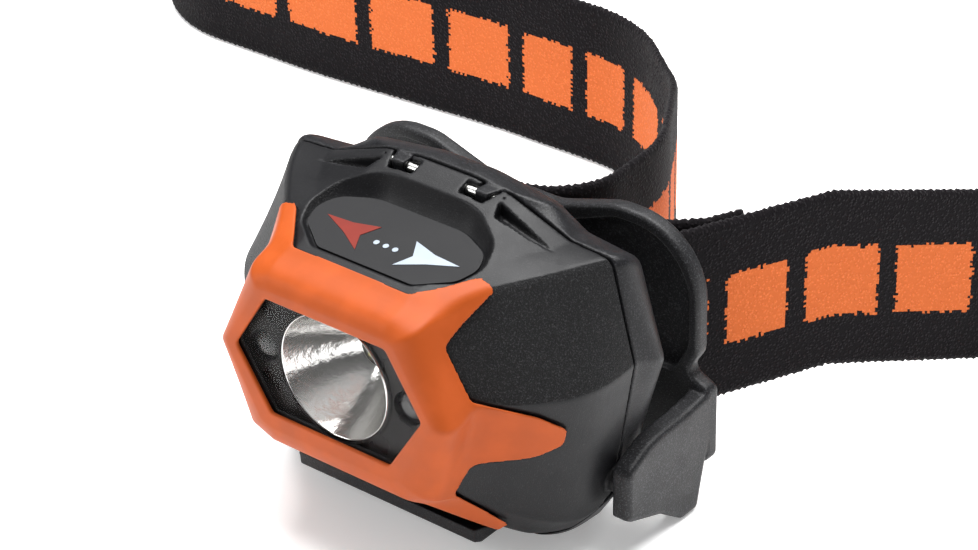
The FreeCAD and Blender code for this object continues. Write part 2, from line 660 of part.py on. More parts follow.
def friction_washer():
    """Thin washer between an arm and the shell's boss."""
    washer = cylinder((ARM_IN - 0.28, TILT_Y, TILT_Z), BOSS_R, 0.28, (1, 0, 0))
    return washer.cut(cylinder((ARM_IN - 1, TILT_Y, TILT_Z), PIN_R, 2, (1, 0, 0)))


# ---------------------------------------------------------------- headband
BACK_Y = 216.0            # the far side of the loop
ROUTE = [(-9.0, 46.9), (-0.2, 49.2), (5.5, 55.4), (5.0, 72.0), (-13.7, 100.6), (-31.4, 115.2),
         (-62.0, 114.7), (-100.0, 111.0), (-142.0, 110.0), (-160.0, 150.0), (-132.0, BACK_Y),
         (44.0, BACK_Y), (66.0, 172.0), (58.0, 124.0), (37.0, 80.0)]
ROUTE_RADII = [12.0, 10.0, 10.0, 20.0, 40.0, 26.0, 100.0, 200.0, 26.0, 60.0, 30.0, 30.0, 40.0, 60.0, 200.0]
SLIDER_RAIL = 3.1         # slider's rail under the strap, which lifts the strap off the floor
SLIDER_LIFT = SLIDER_RAIL + 0.3
SLIDER_X, SLIDER_Y, SLIDER_HALF = -55.0, BACK_Y, 11.0
LEFT_SIDE, RIGHT_SIDE = 1, 1          # which way the strap goes round each bar
HEIGHTS = [(30, STRAP_TOP - STRAP_WIDTH), (74, STRAP_TOP - STRAP_WIDTH), (104, FLOOR_Z),
           (128, FLOOR_Z), (190, FLOOR_Z + SLIDER_LIFT), (250, FLOOR_Z + SLIDER_LIFT)]
FOLD_REACH = 8.0          # distance from a bar to where its folded end meets the strap
SEWN = 6.0                # length over which a folded end lies flat against the strap


def strap_run(start, end):
    """A straight stretch of strap between two points of its middle line."""
    dx, dy = unit(end[0] - start[0], end[1] - start[1])
    nx, ny = -dy * STRAP_T / 2, dx * STRAP_T / 2
    loop = [(start[0] + nx, start[1] + ny), (end[0] + nx, end[1] + ny),
            (end[0] - nx, end[1] - ny), (start[0] - nx, start[1] - ny)]
    return prism_z(loop, FLOOR_Z, STRAP_TOP)


def strap_arc(centre, radius, start_angle, end_angle):
    """A bend of the strap about a centre, counter-clockwise from start to end, in degrees."""
    place = V(centre[0], centre[1], FLOOR_Z)
    height = STRAP_TOP - FLOOR_Z
    outer = Part.makeCylinder(radius + STRAP_T / 2, height, place, V(0, 0, 1), end_angle - start_angle)
    inner = Part.makeCylinder(radius - STRAP_T / 2, height, place, V(0, 0, 1), end_angle - start_angle)
    bend = outer.cut(inner)
    bend.rotate(place, V(0, 0, 1), start_angle)
    return bend


def angle_of(dx, dy):
    return math.degrees(math.atan2(dy, dx))


def strap_corner(before, corner, after, radius):
    """The bend at one corner of the route: its two tangent points, its length and its solid."""
    ax, ay = unit(before[0] - corner[0], before[1] - corner[1])
    bx, by = unit(after[0] - corner[0], after[1] - corner[1])
    half = math.acos(ax * bx + ay * by) / 2
    back = radius / math.tan(half)
    mx, my = unit(ax + bx, ay + by)
    centre = (corner[0] + mx * radius / math.sin(half), corner[1] + my * radius / math.sin(half))
    first = (corner[0] + ax * back, corner[1] + ay * back)
    last = (corner[0] + bx * back, corner[1] + by * back)
    angles = [angle_of(p[0] - centre[0], p[1] - centre[1]) for p in (first, last)]
    turn = (angles[1] - angles[0]) % 360
    start = angles[0] if turn < 180 else angles[1]
    swept = min(turn, 360 - turn)
    return first, last, math.radians(swept) * radius, strap_arc(centre, radius, start, start + swept)


def tangent_point(point, centre, radius, side):
    """Where a line from the point touches the circle; side is +1 or -1."""
    dx, dy = centre[0] - point[0], centre[1] - point[1]
    distance = math.hypot(dx, dy)
    swing = math.asin(radius / distance) * side
    length = math.sqrt(distance ** 2 - radius ** 2)
    direction = math.atan2(dy, dx) + swing
    return point[0] + length * math.cos(direction), point[1] + length * math.sin(direction)


def folded_end(joint, onward, bar, side):
    """A strap end that comes from the joint, goes round a bar and is sewn back on itself.

    The sewn stretch runs on from its meeting point towards the point named onward.
    """
    touch = tangent_point(joint, bar, BAR_WRAP, side)
    ax, ay = unit(joint[0] - touch[0], joint[1] - touch[1])
    nx, ny = -ay * side * STRAP_T, ax * side * STRAP_T
    reach = FOLD_REACH
    meet = (touch[0] + ax * reach + nx, touch[1] + ay * reach + ny)
    back = tangent_point(meet, bar, BAR_WRAP, -side)
    bx, by = unit(onward[0] - meet[0], onward[1] - meet[1])
    end = (meet[0] + bx * SEWN, meet[1] + by * SEWN)
    angles = [angle_of(p[0] - bar[0], p[1] - bar[1]) for p in (touch, back)]
    start = angles[0] if side < 0 else angles[1]
    stop = angles[1] if side < 0 else angles[0]
    wrap = strap_arc(bar, BAR_WRAP, start, start + (stop - start) % 360)
    return touch, [wrap, strap_run(back, meet), strap_run(meet, end)]


def headband_strap():
    left, right = (-BAR_X, BAR_Y), (BAR_X, BAR_Y)
    first, left_end = folded_end(ROUTE[0], (ROUTE[0][0], ROUTE[0][1] + STRAP_T), left, LEFT_SIDE)
    last, right_end = folded_end(ROUTE[-1], (ROUTE[-1][0] - STRAP_T, ROUTE[-1][1]), right, RIGHT_SIDE)
    points = [first] + ROUTE + [last]
    pieces = left_end + right_end
    here, length = first, 0.0
    for i in range(1, len(points) - 1):
        before, after, around, bend = strap_corner(points[i - 1], points[i], points[i + 1],
                                                   ROUTE_RADII[i - 1])
        pieces += [strap_run(here, before), bend]
        length += math.dist(here, before) + around
        here = after
    pieces.append(strap_run(here, last))
    length += math.dist(here, last) + 2 * (2 * BAR_WRAP + FOLD_REACH + SEWN)
    strap = pieces[0].multiFuse(pieces[1:])
    band = HEIGHTS + [(y, z + STRAP_WIDTH) for y, z in reversed(HEIGHTS)]
    strap = strap.common(prism_x(band, -260, 160)).removeSplitter()
    print("strap length with its folded ends", round(length))
    return strap


def strap_slider():
    """Three-bar slider: the strap runs straight through, under the middle bar."""
    low = FLOOR_Z
    high = low + 2 * SLIDER_LIFT + STRAP_WIDTH
    front, back = SLIDER_Y - STRAP_T / 2 - 0.3, SLIDER_Y + STRAP_T / 2 + 0.3
    x0, x1 = SLIDER_X - SLIDER_HALF, SLIDER_X + SLIDER_HALF
    slider = box(x0, x1, front - 1.6, back + 1.6, low, low + SLIDER_RAIL)
    slider = slider.fuse(box(x0, x1, front - 1.6, back + 1.6, high - SLIDER_RAIL, high))
    for x in (x0, x1 - 3.0):
        slider = slider.fuse(box(x, x + 3.0, front - 1.6, front, low, high))
    slider = slider.fuse(box(SLIDER_X - 2.0, SLIDER_X + 2.0, back, back + 1.6, low, high))
    return slider.removeSplitter()


if __name__ == "__main__":
    os.makedirs("parts", exist_ok=True)
    save("front_shell", front_shell())
    save("bezel", bezel())
    save("window_lens", window_lens())
    save("lens_gasket", lens_gasket())
    save("light_mask", light_mask())
    save("reflector", reflector())
    save("white_led", white_led())
    save("led_board", led_board())
    save("led_wires", *led_wires())
    save("heat_sink", heat_sink())
    save("side_led_right", side_led())
    save("side_led_left", mirrored(side_led()))
    save("touch_pad", touch_pad())
    save("pad_arrow_white", pad_mark(ARROW))
    save("pad_arrow_red", mirrored(pad_mark(ARROW)))
    save("pad_dots", *pad_dots())
    save("touch_board", touch_board())
    save("main_board", main_board())
    save("board_parts", *board_parts())
    save("battery_tray", battery_tray())
    save("tray_screws", *tray_screws())
    save("cover_seal", cover_seal())
    for name, z in zip(("bottom", "middle", "top"), cell_heights()):
        save("battery_cell_" + name, cell(z))
    save("contact_springs", *contact_springs())
    save("contact_plates", *contact_plates())
    save("cover_hinge_rods", *hinge_rods())
    save("battery_cover", battery_cover())
    save("cell_pad", cell_pad())
    save("bracket", bracket())
    save("pivot_pin_right", pivot_pin())
    save("pivot_pin_left", mirrored(pivot_pin()))
    save("friction_washer_right", friction_washer())
    save("friction_washer_left", mirrored(friction_washer()))
    save("headband_strap", headband_strap())
    save("strap_slider", strap_slider())
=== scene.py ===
"""Looks for the compact headlamp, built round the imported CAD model. Lengths are in metres."""
import bpy
import json
import math
import random
from mathutils import Matrix, Vector, noise


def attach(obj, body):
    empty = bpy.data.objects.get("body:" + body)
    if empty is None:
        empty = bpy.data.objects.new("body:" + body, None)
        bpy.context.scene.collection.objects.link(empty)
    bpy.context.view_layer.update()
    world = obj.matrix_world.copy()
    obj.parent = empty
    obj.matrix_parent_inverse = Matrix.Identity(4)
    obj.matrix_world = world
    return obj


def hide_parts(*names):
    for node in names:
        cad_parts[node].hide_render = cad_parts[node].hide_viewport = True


MM = 0.001
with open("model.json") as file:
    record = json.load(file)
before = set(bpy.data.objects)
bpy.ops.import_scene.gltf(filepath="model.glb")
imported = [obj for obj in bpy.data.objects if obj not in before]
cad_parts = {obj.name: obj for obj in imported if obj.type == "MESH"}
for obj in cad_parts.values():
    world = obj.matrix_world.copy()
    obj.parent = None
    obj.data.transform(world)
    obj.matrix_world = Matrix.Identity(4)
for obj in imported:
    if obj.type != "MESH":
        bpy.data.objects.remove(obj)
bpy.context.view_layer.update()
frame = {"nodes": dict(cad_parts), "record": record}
NODES = frame["nodes"]
random.seed(7)


# ---------------------------------------------------------------- material kit
class Shader:
    """A material with short ways to add nodes to it."""

    def __init__(self, name, color=(0.5, 0.5, 0.5), roughness=0.5, metallic=0.0, **sockets):
        self.material = bpy.data.materials.new(name)
        self.material.use_nodes = True
        self.tree = self.material.node_tree
        self.body = self.tree.nodes["Principled BSDF"]
        self.set("Base Color", (*color, 1.0))
        self.set("Roughness", roughness)
        self.set("Metallic", metallic)
        for key, value in sockets.items():
            self.set(key.replace("_", " "), value)

    def set(self, socket, value):
        self.body.inputs[socket].default_value = value

    def plug(self, source, socket):
        self.tree.links.new(source, self.body.inputs[socket])

    def node(self, kind, inputs=(), **settings):
        made = self.tree.nodes.new(kind)
        for key, value in settings.items():
            setattr(made, key, value)
        for key, value in dict(inputs).items():
            if isinstance(value, bpy.types.NodeSocket):
                self.tree.links.new(value, made.inputs[key])
            else:
                made.inputs[key].default_value = value
        return made

    def place(self):
        """Place in the row frame, in millimetres."""
        where = self.node("ShaderNodeTexCoord").outputs["Object"]
        scaled = self.node("ShaderNodeVectorMath", {0: where, 3: 1000.0}, operation="SCALE")
        return scaled.outputs[0]

    def noise(self, scale, detail=2.0, where=None, roughness=0.5):
        """Noise with its cell size given in millimetres."""
        made = self.node("ShaderNodeTexNoise", {"Vector": where or self.place(), "Scale": 1.0 / scale,
                                                "Detail": detail, "Roughness": roughness})
        return made.outputs["Fac"]

    def math(self, operation, a, b=0.0):
        return self.node("ShaderNodeMath", {0: a, 1: b}, operation=operation).outputs[0]

    def ramp(self, value, low, high, out_low=0.0, out_high=1.0):
        """The value moved from one range to another, smoothly and held at the ends."""
        made = self.node("ShaderNodeMapRange", {"Value": value, "From Min": low, "From Max": high,
                                                "To Min": out_low, "To Max": out_high},
                         interpolation_type="SMOOTHSTEP")
        return made.outputs["Result"]

    def mix(self, share, a, b):
        """A colour between a and b."""
        made = self.node("ShaderNodeMix", {"Factor": share, 6: a, 7: b}, data_type="RGBA")
        return made.outputs[2]

    def bump(self, height, distance, over=None):
        """A normal from a height, whose full swing is the distance in millimetres."""
        inputs = {"Height": height, "Distance": distance * MM, "Strength": 1.0}
        if over is not None:
            inputs["Normal"] = over
        return self.node("ShaderNodeBump", inputs).outputs["Normal"]


def rgba(red, green, blue):
    return (red, green, blue, 1.0)


def satin(name, color, roughness, grain=0.12, depth=0.006, spread=0.08, gloss=0.35):
    """Moulded plastic with a fine grain and a slightly uneven sheen."""
    made = Shader(name, color, roughness, Specular_IOR_Level=gloss)
    uneven = made.noise(6.0, 3.0)
    made.plug(made.ramp(uneven, 0.3, 0.7, roughness - spread, roughness + spread), "Roughness")
    lighter = rgba(*(min(1.0, c * 1.18 + 0.002) for c in color))
    made.plug(made.mix(made.ramp(uneven, 0.35, 0.75), rgba(*color), lighter), "Base Color")
    made.plug(made.bump(made.noise(grain, 2.0), depth), "Normal")
    return made


def grained(name, color, roughness):
    """Black plastic off a lightly spark-eroded mould: satin with tiny facets, whose glints are painted
    highlights, bright specks in the base colour that also lighten shaded hollows.
    """
    made = Shader(name, color, roughness, Specular_IOR_Level=0.22)
    where = made.place()
    grain = made.noise(0.24, 2.0, where, 0.7)
    uneven = made.ramp(made.noise(6.0, 3.0, where), 0.3, 0.7, roughness - 0.05, roughness + 0.06)
    made.plug(uneven, "Roughness")
    # painted highlight: grain specks six times lighter than the base colour, which also lift shaded
    # hollows
    lighter = rgba(*(c * 6.0 for c in color))
    made.plug(made.mix(made.ramp(grain, 0.5, 0.75), rgba(*color), lighter), "Base Color")
    made.plug(made.bump(grain, 0.05), "Normal")
    return made


def shell_plastic():
    """Black plastic, satin on top and below, with a spark-eroded grain on the upper flanks; the sparkle of
    that grain and fine specks over the whole shell are painted highlights in the base colour.
    """
    base = (0.007, 0.007, 0.008)
    made = Shader("shell_plastic", base, 0.4, Specular_IOR_Level=0.19)
    where = made.place()
    split = made.node("ShaderNodeSeparateXYZ", {0: where})
    normal = made.node("ShaderNodeSeparateXYZ", {0: made.node("ShaderNodeNewGeometry").outputs["Normal"]})
    side = made.ramp(made.math("ABSOLUTE", split.outputs["X"]), 12.5, 16.0)
    upward = made.ramp(normal.outputs["Z"], 0.02, 0.16)
    off_top = made.ramp(normal.outputs["Z"], 0.8, 0.93, 1.0, 0.0)
    flank = made.math("MULTIPLY", made.math("MULTIPLY", side, upward), off_top)
    coarse = made.noise(0.24, 2.0, where, 0.8)
    fine = made.noise(0.17, 2.0, where)
    first = made.bump(fine, 0.03)
    made.plug(made.bump(made.math("MULTIPLY", coarse, flank), 0.3, over=first), "Normal")
    uneven = made.ramp(made.noise(5.0, 3.0, where), 0.3, 0.7, 0.36, 0.46)
    made.plug(made.node("ShaderNodeMix", {"Factor": flank, 2: uneven, 3: 0.55}).outputs[0], "Roughness")
    # painted highlight: the glints of the flank grain, painted as bright specks in the base colour
    lit = made.math("MULTIPLY", made.ramp(coarse, 0.5, 0.75), flank)
    # painted highlight: fine bright specks over the whole shell stand in for the glints of its grain
    satin_painted_specks = made.mix(made.ramp(fine, 0.55, 0.8), rgba(*base), rgba(0.03, 0.03, 0.032))
    plain = made.mix(flank, satin_painted_specks, rgba(0.002, 0.002, 0.0025))
    made.plug(made.mix(lit, plain, rgba(0.045, 0.045, 0.048)), "Base Color")
    return made


def peeled_metal():
    """Vacuum-metallised plastic with a fine crinkle."""
    made = Shader("reflector_chrome", (0.8, 0.79, 0.77), 0.16, 1.0)
    where = made.place()
    crinkle = made.bump(made.noise(0.28, 2.0, where), 0.02)
    made.plug(made.bump(made.noise(0.9, 2.0, where), 0.03, over=crinkle), "Normal")
    return made


def resin_with_painted_light():
    """Clear lamp resin with the broken highlights of its moulded dome, and a grey base colour that is
    painted light standing in for the lit dome.
    """
    # painted light: the grey base colour makes the clear dome look lit
    made = Shader("clear_resin", (0.2, 0.2, 0.2), 0.08, Alpha=0.5)
    made.plug(made.bump(made.noise(0.5, 2.0), 0.25), "Normal")
    return made


def yarn(name, dark, light):
    """Knitted elastic yarn: fine ribs across the strap, fluff and uneven dye."""
    made = Shader(name, dark, 0.85, Specular_IOR_Level=0.12)
    where = made.place()
    made.set("Sheen Weight", 0.06)
    made.set("Sheen Roughness", 0.5)
    fibre = made.noise(0.22, 3.0, where, 0.65)
    stitch = made.node("ShaderNodeTexVoronoi", {"Vector": where, "Scale": 1.9}).outputs["Distance"]
    share = made.math("MULTIPLY", made.ramp(fibre, 0.35, 0.7), made.ramp(stitch, 0.6, 0.15))
    made.plug(made.mix(share, rgba(*dark), rgba(*light)), "Base Color")
    made.plug(made.bump(made.ramp(stitch, 0.6, 0.0), 0.12, over=made.bump(fibre, 0.08)), "Normal")
    return made


MATERIALS = {
    "shell_plastic": shell_plastic(),
    "bezel_orange": satin("bezel_orange", (0.36, 0.062, 0.008), 0.48, 0.14, 0.004, 0.04, 0.18),
    "seal_rubber": satin("seal_rubber", (0.02, 0.02, 0.02), 0.7),
    "mask_black": satin("mask_black", (0.003, 0.002, 0.002), 0.3, gloss=0.12),
    "led_white": satin("led_white", (0.85, 0.74, 0.35), 0.3),
    "board_aluminium": satin("board_aluminium", (0.8, 0.8, 0.78), 0.35),
    "wire_red": satin("wire_red", (0.45, 0.02, 0.02), 0.4),
    "aluminium": satin("aluminium", (0.6, 0.61, 0.62), 0.35),
    "film_black": satin("film_black", (0.009, 0.009, 0.01), 0.45, gloss=0.16),
    "print_white": satin("print_white", (0.29, 0.33, 0.38), 0.5, gloss=0.12),
    "print_red": satin("print_red", (0.15, 0.018, 0.012), 0.5, gloss=0.12),
    "board_green": satin("board_green", (0.01, 0.13, 0.05), 0.3),
    "chip_black": satin("chip_black", (0.015, 0.015, 0.015), 0.5),
    "tray_plastic": satin("tray_plastic", (0.03, 0.03, 0.032), 0.5),
    "cell_jacket": satin("cell_jacket", (0.12, 0.13, 0.16), 0.3),
    "cover_plastic": grained("cover_plastic", (0.007, 0.007, 0.008), 0.4),
    "foam": satin("foam", (0.03, 0.03, 0.03), 0.9, 0.5, 0.1),
    "bracket_plastic": grained("bracket_plastic", (0.011, 0.011, 0.012), 0.42),
    "webbing": yarn("webbing", (0.003, 0.002, 0.003), (0.014, 0.011, 0.013)),
    "webbing_orange": yarn("webbing_orange", (0.62, 0.14, 0.035), (0.86, 0.22, 0.065)),
    "slider_plastic": satin("slider_plastic", (0.015, 0.015, 0.016), 0.35),
    "steel": Shader("steel", (0.62, 0.62, 0.6), 0.25, 1.0),
    "spring_steel": Shader("spring_steel", (0.72, 0.71, 0.68), 0.22, 1.0),
    "reflector_chrome": peeled_metal(),
    "clear_lens": Shader("clear_lens", (0.01, 0.01, 0.012), 0.03, Alpha=0.05),
    "clear_resin": resin_with_painted_light(),
}

for row in frame["record"]["subparts"]:
    data = NODES[row["node"]].data
    data.materials.clear()
    data.materials.append(MATERIALS[row["material_slot"]].material)


# ---------------------------------------------------------------- mesh helpers
def new_piece(name, mesh, body, stands_for):
    """Link a mesh made in the row frame, shade it smooth, give it its body and hide the CAD nodes it
    stands for.
    """
    made = bpy.data.objects.new(name, mesh)
    bpy.context.scene.collection.objects.link(made)
    for polygon in mesh.polygons:
        polygon.use_smooth = True
    if stands_for:
        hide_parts(*stands_for)
    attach(made, body)
    return made


def mesh_from(name, vertices, faces, materials, material_of=None):
    """A mesh in the row frame; material_of numbers each face's material."""
    mesh = bpy.data.meshes.new(name)
    mesh.from_pydata(vertices, [], faces)
    for material in materials:
        mesh.materials.append(material)
    if material_of is not None:
        mesh.polygons.foreach_set("material_index", material_of)
    mesh.update()
    return mesh


# ---------------------------------------------------------------- softened mouldings
VOXEL, SMOOTHING = 0.22, 3     # millimetres between samples, and smoothing passes
BEZEL_VOXEL, BEZEL_SMOOTHING = 0.16, 8
BRACKET_VOXEL = 0.25
EASE_FACTOR = 0.5
KEPT_FACES = 0.35              # share of the faces left after thinning


def softened(node, body, slot_name, voxel=VOXEL, passes=SMOOTHING):
    """The moulding of a CAD node with its sharp edges eased, as a mould leaves them."""
    made = bpy.data.objects.new("soft_" + node, NODES[node].data.copy())
    bpy.context.scene.collection.objects.link(made)
    made.matrix_world = NODES[node].matrix_world.copy()
    remesh = made.modifiers.new("remesh", "REMESH")
    remesh.mode, remesh.voxel_size = "VOXEL", voxel * MM
    ease = made.modifiers.new("ease", "SMOOTH")
    ease.factor, ease.iterations = EASE_FACTOR, passes
    thin = made.modifiers.new("thin", "DECIMATE")
    thin.ratio = KEPT_FACES
    ready = made.evaluated_get(bpy.context.evaluated_depsgraph_get())
    mesh = bpy.data.meshes.new_from_object(ready)
    mesh.transform(made.matrix_world)
    bpy.data.objects.remove(made)
    mesh.materials.clear()
    mesh.materials.append(MATERIALS[slot_name].material)
    return new_piece("soft_" + node, mesh, body, [node])


# ---------------------------------------------------------------- headband webbing, in millimetres
STRAP_WIDTH, STRAP_T = 30.0, 1.6
BAR = (20.0, 49.2)
BAR_WRAP = 2.3                 # radius of the middle line round a bar
FOLD_REACH, SEWN = 8.0, 6.0
BACK_Y = 216.0
ROUTE = [(-9.0, 46.9), (-0.2, 49.2), (5.5, 55.4), (5.0, 72.0), (-13.7, 100.6), (-31.4, 115.2),
         (-62.0, 114.7), (-100.0, 111.0), (-142.0, 110.0), (-160.0, 150.0), (-132.0, BACK_Y),
         (44.0, BACK_Y), (66.0, 172.0), (58.0, 124.0), (37.0, 80.0)]
ROUTE_RADII = [12.0, 10.0, 10.0, 20.0, 40.0, 26.0, 100.0, 200.0, 26.0, 60.0, 30.0, 30.0, 40.0, 60.0, 200.0]
LIFTS = [(30, -21.5), (74, -21.5), (104, -30.0), (128, -30.0), (190, -26.6), (250, -26.6)]
BLOCK_TALL = 11.8
BLOCKS = [8.9, 10.3, 12.6, 13.5, 15.1, 12.4]     # lengths of the orange blocks, repeated
BLOCK_GAP = 3.3
PICK = 0.45                    # length of strap per column of the mesh
ROWS = 72                      # rows across the width on each face
LEFT_PHASE, RIGHT_PHASE = -9.6, 1.9              # where the block row starts at each end
RIGHT_SHARE = 0.55             # beyond this share of the length, blocks are counted from the right
BLOCK_RAGGED = 0.35            # unevenness of a block's ends
BLOCK_EDGE = 0.3               # unevenness of its upper and lower edges
EDGE_LOOP, EDGE_LOOP_STEP = 0.15, 1.2            # knitted loops along the selvedge
EDGE_STRAY, EDGE_BAND = 0.07, 0.9
RIB, PICK_RIB, FLUFF = 0.03, 0.05, 0.015         # surface relief of the knit
RELIEF = 0.09                  # the webbing's body lies this far under its full thickness
EDGE_THIN, EDGE_SLOPE = 0.45, 0.7                # the selvedge thins towards the edge


def tangent_point(point, centre, radius, side):
    """Where a line from the point touches the circle; side is +1 or -1."""
    dx, dy = centre[0] - point[0], centre[1] - point[1]
    distance = math.hypot(dx, dy)
    direction = math.atan2(dy, dx) + math.asin(radius / distance) * side
    length = math.sqrt(distance ** 2 - radius ** 2)
    return Vector((point[0] + length * math.cos(direction), point[1] + length * math.sin(direction)))


def arc_points(centre, radius, start, turn):
    """Points along an arc, close enough together to read as round."""
    steps = max(2, int(abs(turn) * radius / 0.6), int(abs(turn) / 0.12))
    return [Vector((centre[0] + radius * math.cos(start + turn * i / steps),
                    centre[1] + radius * math.sin(start + turn * i / steps))) for i in range(steps + 1)]


def corner_points(before, corner, after, radius):
    """The bend at one corner of the route, from tangent point to tangent point."""
    a, b = (Vector(before) - Vector(corner)).normalized(), (Vector(after) - Vector(corner)).normalized()
    half = a.angle(b) / 2
    centre = Vector(corner) + (a + b).normalized() * radius / math.sin(half)
    first = Vector(corner) + a * radius / math.tan(half)
    start = math.atan2(first.y - centre.y, first.x - centre.x)
    turn = (math.pi - 2 * half) * (1 if a.x * b.y - a.y * b.x < 0 else -1)
    return arc_points(centre, radius, start, turn)


def folded_end(joint, onward, bar, side):
    """Middle line of a folded end, from its cut end round the bar to the joint's side."""
    joint, bar = Vector(joint), Vector(bar)
    touch = tangent_point(joint, bar, BAR_WRAP, side)
    along = (joint - touch).normalized()
    aside = Vector((-along.y, along.x)) * side * STRAP_T
    meet = touch + along * FOLD_REACH + aside
    back = tangent_point(meet, bar, BAR_WRAP, -side)
    end = meet + (Vector(onward) - meet).normalized() * SEWN
    first, last = back - bar, touch - bar
    start = math.atan2(first.y, first.x)
    turn = (math.atan2(last.y, last.x) - start) % (2 * math.pi)
    if side > 0:
        turn -= 2 * math.pi
    return [end, meet] + arc_points(bar, BAR_WRAP, start, turn)


def strap_line():
    """The strap's whole middle line and the numbers of the points where its folds end."""
    left = folded_end(ROUTE[0], (ROUTE[0][0], ROUTE[0][1] + STRAP_T), (-BAR[0], BAR[1]), 1)
    right = folded_end(ROUTE[-1], (ROUTE[-1][0] - STRAP_T, ROUTE[-1][1]), BAR, 1)[::-1]
    knots = [left[-1]] + [Vector(p) for p in ROUTE] + [right[0]]
    points = list(left)
    for i in range(1, len(knots) - 1):
        points += corner_points(knots[i - 1], knots[i], knots[i + 1], ROUTE_RADII[i - 1])
    return points + right, len(left) - 1, len(right) - 1


def evenly(points, step):
    """The line cut into equal steps: points, and the length at each of the old points."""
    lengths = [0.0]
    for a, b in zip(points, points[1:]):
        lengths.append(lengths[-1] + (b - a).length)
    count = int(lengths[-1] / step)
    out, k = [], 0
    for i in range(count + 1):
        target = lengths[-1] * i / count
        while k < len(points) - 2 and lengths[k + 1] < target:
            k += 1
        span = max(1e-9, lengths[k + 1] - lengths[k])
        out.append(points[k].lerp(points[k + 1], (target - lengths[k]) / span))
    return out, lengths


def lift_at(y):
    """Height of the strap's lower edge."""
    for (y0, z0), (y1, z1) in zip(LIFTS, LIFTS[1:]):
        if y <= y1:
            return z0 + (z1 - z0) * max(0.0, y - y0) / (y1 - y0)
    return LIFTS[-1][1]


def in_block(distance):
    """True where the repeated row of blocks is orange."""
    cycle = sum(BLOCKS) + BLOCK_GAP * len(BLOCKS)
    distance %= cycle
    for length in BLOCKS:
        if distance < length:
            return True
        distance -= length + BLOCK_GAP
        if distance < 0:
            return False
    return False


def webbing_strap():
    """Ribbon with raised picks, uneven knitted edges and blocks of orange yarn."""
    line, left_fold, right_fold = strap_line()
    points, lengths = evenly(line, PICK)
    total = lengths[-1]
    start, stop = lengths[left_fold], lengths[len(line) - 1 - right_fold]
    vertices, faces, colours = [], [], []
    ring = 2 * ROWS + 2
    ends = [random.uniform(-BLOCK_EDGE, BLOCK_EDGE) for _ in points]
    for i, point in enumerate(points):
        ahead = points[min(i + 1, len(points) - 1)] - points[max(i - 1, 0)]
        ahead.normalize()
        aside = Vector((-ahead.y, ahead.x))
        low = lift_at(point.y)
        wave = math.sin(i * PICK * 2 * math.pi / EDGE_LOOP_STEP)
        loop = EDGE_LOOP * wave + random.uniform(-EDGE_STRAY, EDGE_STRAY)
        for face in (1, -1):
            for row in range(ROWS + 1):
                share = row / ROWS if face > 0 else 1 - row / ROWS
                edge = min(share, 1 - share) * STRAP_WIDTH
                thick = STRAP_T / 2 * min(1.0, EDGE_THIN + edge * EDGE_SLOPE)
                rib = PICK_RIB * (1 if (i + row) % 2 else -1) + RIB * (1 if row % 2 else -1)
                out = (thick - RELIEF + rib + random.uniform(-FLUFF, FLUFF)) * face
                reach = share * STRAP_WIDTH
                if edge < EDGE_BAND:
                    reach += loop * (1 if share > 0.5 else -1)
                place = point + aside * out
                vertices.append((place.x * MM, place.y * MM, (low + reach) * MM))
    for i in range(len(points) - 1):
        distance = total * (i + 0.5) / (len(points) - 1)
        if distance < total * RIGHT_SHARE:
            phase = distance - start + LEFT_PHASE
        else:
            phase = stop - distance + RIGHT_PHASE
        for k in range(ring):
            a, b = i * ring + k, i * ring + (k + 1) % ring
            faces.append((a, b, b + ring, a + ring))
            row = k if k <= ROWS else ring - 1 - k
            height = abs((row + 0.5) / ROWS - 0.5) * STRAP_WIDTH
            ragged = random.uniform(-BLOCK_RAGGED, BLOCK_RAGGED)
            tall = height < BLOCK_TALL / 2 + ends[i]
            colours.append(1 if tall and in_block(phase + ragged) else 0)
    for i in (0, len(points) - 1):
        base = i * ring
        cap = [base + k for k in range(ring)]
        faces.append(tuple(cap if i else cap[::-1]))
        colours.append(0)
    materials = [MATERIALS["webbing"].material, MATERIALS["webbing_orange"].material]
    mesh = mesh_from("webbing_strap", vertices, faces, materials, colours)
    return new_piece("webbing_strap", mesh, "root", ["headband_strap"])


# ---------------------------------------------------------------- reflector and lamps, in millimetres
MOUTH_R, MOUTH_Y, FOCUS, APEX_R = 9.6, 1.25, 2.2, 3.0
PEEL_SIZE, PEEL_DEPTH = 0.5, 0.008
LAMP_X = 13.3                  # place of the side lamps
MOUTH_RING = [(9.68, 2.2), (9.68, 1.45), (10.32, 1.4), (10.34, 2.2)]     # (radius, y)


def orange_peel_reflector():
    """Paraboloid with the fine dimples of a textured reflector, a thin rim and a back."""
    vertex = MOUTH_Y + MOUTH_R ** 2 / (4 * FOCUS)
    around, along = 300, 90
    profile = []
    for k in range(along + 1):
        r = APEX_R + (MOUTH_R - APEX_R) * k / along
        profile.append((r, vertex - r * r / (4 * FOCUS), True))
    profile += [(MOUTH_R + 0.04, MOUTH_Y, False), (MOUTH_R + 0.06, MOUTH_Y + 0.1, False)]
    for k in range(8):
        r = MOUTH_R - (MOUTH_R - APEX_R) * k / 7
        profile.append((r + 0.3, vertex - r * r / (4 * FOCUS) + 0.25, False))
    vertices, faces = [], []
    for r, y, inside in profile:
        for j in range(around):
            turn = 2 * math.pi * j / around
            x, z, deep = r * math.cos(turn), r * math.sin(turn), 0.0
            if inside:
                spot = Vector((x, y, z)) / PEEL_SIZE
                deep = (noise.noise(spot) + noise.noise(spot * 0.35) * 1.6) * PEEL_DEPTH
            vertices.append((x * (1 + deep / r) * MM, (y + deep) * MM, z * (1 + deep / r) * MM))
    for k in range(len(profile) - 1):
        for j in range(around):
            a, b = k * around + j, k * around + (j + 1) % around
            faces.append((a, b, b + around, a + around))
    mesh = mesh_from("peel_reflector", vertices, faces, [MATERIALS["reflector_chrome"].material])
    return new_piece("peel_reflector", mesh, "lamp_head", ["reflector"])


